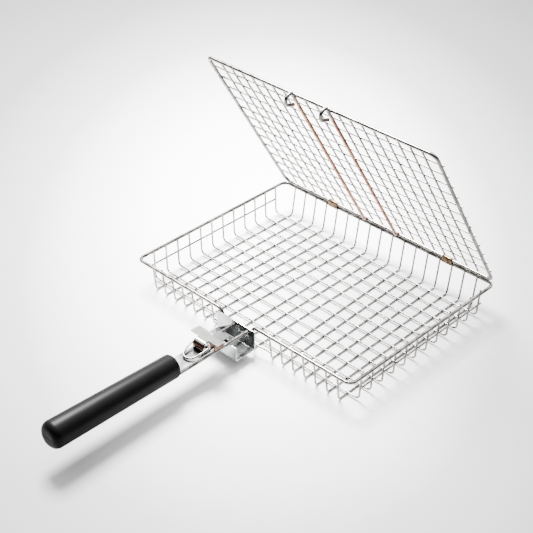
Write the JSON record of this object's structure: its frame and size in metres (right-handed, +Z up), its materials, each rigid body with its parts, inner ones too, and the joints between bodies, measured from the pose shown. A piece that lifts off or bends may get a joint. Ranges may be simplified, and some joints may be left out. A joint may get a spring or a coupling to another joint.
{
  "type": "grill basket",
  "caption": "Shallow rectangular wire grill basket with a hinged wire mesh lid, hook rods, and a clip-on handle with a pull-ring latch and a round black grip.",
  "frame": {"origin": "middle of the tray at the surface it stands on", "axes": "+X across the tray, +Y towards the lid hinge and away from the handle, +Z up"},
  "size_m": [0.324, 0.514, 0.2618],
  "materials": {
    "bright_wire": "bright plated steel wire, spot welded",
    "bright_rod": "bright plated drawn steel rod",
    "pressed_sheet": "bright plated pressed steel sheet",
    "rolled_sleeve": "rolled plated steel strip",
    "latch_steel": "turned and drawn steel",
    "black_grip": "satin black moulded heat-resistant plastic"
  },
  "bodies": {
    "tray": {"tray_rim": "bright_wire", "tray_long_wires": "bright_wire", "tray_cross_wires": "bright_wire", "tray_side_rails": "bright_wire", "bracket_stay": "bright_wire", "front_bracket": "pressed_sheet", "hinge_sleeves": "rolled_sleeve"},
    "lid": {"lid_frame": "bright_wire", "lid_long_wires": "bright_wire", "lid_cross_wires": "bright_wire", "lid_hook_rods": "bright_rod"},
    "handle": {"handle_rods": "bright_rod", "handle_tang": "pressed_sheet", "latch_pivot": "latch_steel", "latch_spring": "latch_steel", "grip_upper": "black_grip", "grip_lower": "black_grip", "grip_screws": "latch_steel"},
    "lever": {"latch_lever": "pressed_sheet"},
    "ring": {"pull_ring": "bright_rod"}
  },
  "joints": [
    {"name": "lid_hinge", "type": "hinge", "parent": "tray", "child": "lid", "pos_m": [0, 0.1235, 0.0415], "axis": [-1, 0, 0], "range_deg": [-55.3, 112]},
    {"name": "handle_slide", "type": "slide", "parent": "tray", "child": "handle", "axis": [0, -1, 0], "range_m": [0, 0.0008]},
    {"name": "lever_pivot", "type": "hinge", "parent": "handle", "child": "lever", "pos_m": [0.009, -0.1855, 0.0407], "axis": [1, 0, 0], "range_deg": [0, 24], "stiffness_Nm_per_rad": 0.2, "springref_deg": -20.05},
    {"name": "ring_pivot", "type": "hinge", "parent": "handle", "child": "ring", "pos_m": [0.009, -0.1855, 0.0407], "axis": [-1, 0, 0], "range_deg": [0, 45]}
  ]
}
